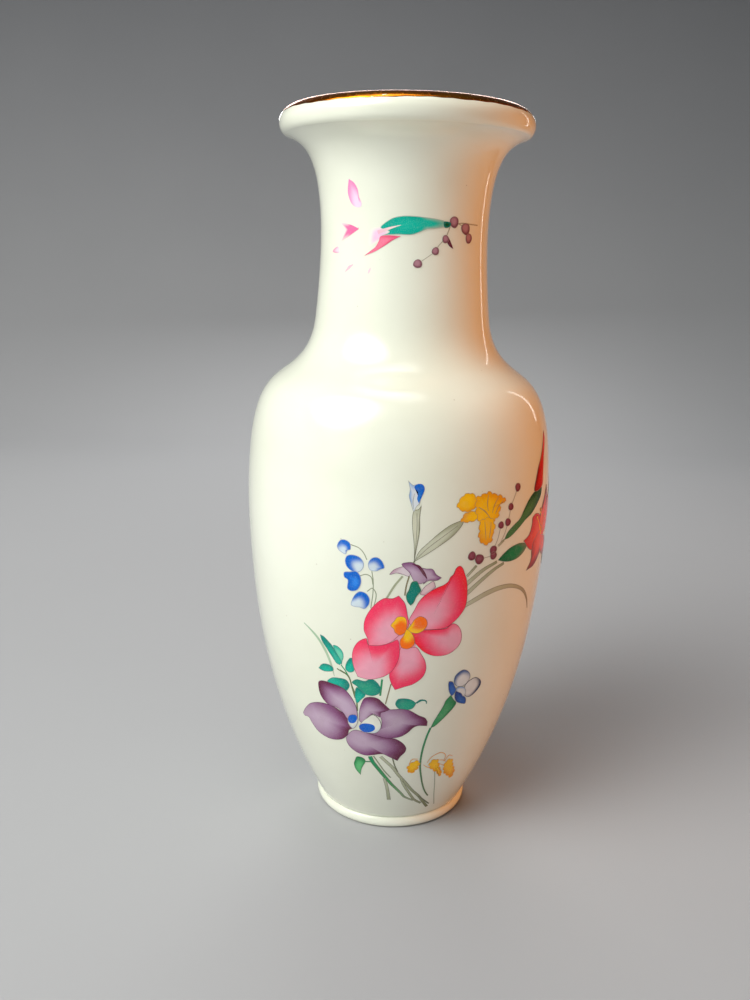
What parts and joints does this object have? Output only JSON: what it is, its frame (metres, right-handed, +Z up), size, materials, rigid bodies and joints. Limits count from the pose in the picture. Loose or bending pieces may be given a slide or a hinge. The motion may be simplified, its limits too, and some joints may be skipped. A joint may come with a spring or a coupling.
{
  "type": "flower vase",
  "caption": "Tall baluster flower vase of glazed porcelain with a straight neck, flared mouth, rolled gilt lip, low foot ring and painted flower sprays.",
  "frame": {"origin": "middle of the foot ring's resting face, on the surface that the vase stands on", "axes": "+Z up along the axis the vase is turned about; the decorated front faces -Y; +X is to the right of someone looking at the front"},
  "size_m": [0.1314, 0.1317, 0.305],
  "materials": {
    "glazed_porcelain": "glossy warm-white glaze",
    "foot_porcelain": "glazed bead, bare ground resting face",
    "gilt": "bright fired gold, slightly worn",
    "pink_enamel": "glossy overglaze enamel",
    "purple_enamel": "glossy overglaze enamel",
    "yellow_enamel": "glossy overglaze enamel",
    "red_enamel": "glossy overglaze enamel",
    "blue_enamel": "glossy overglaze enamel",
    "green_enamel": "glossy overglaze enamel",
    "plum_enamel": "glossy overglaze enamel"
  },
  "bodies": {
    "root": {"vase_body": "glazed_porcelain", "vase_neck": "glazed_porcelain", "foot_ring": "foot_porcelain", "gilt_rim": "gilt", "neck_petals": "pink_enamel", "neck_bud": "green_enamel", "pink_flower": "pink_enamel", "purple_flower": "purple_enamel", "lilac_flower": "purple_enamel", "daffodil": "yellow_enamel", "red_lily": "red_enamel", "bluebells": "blue_enamel", "iris_bud": "blue_enamel", "tulip_bud": "blue_enamel"}
  },
  "joints": []
}
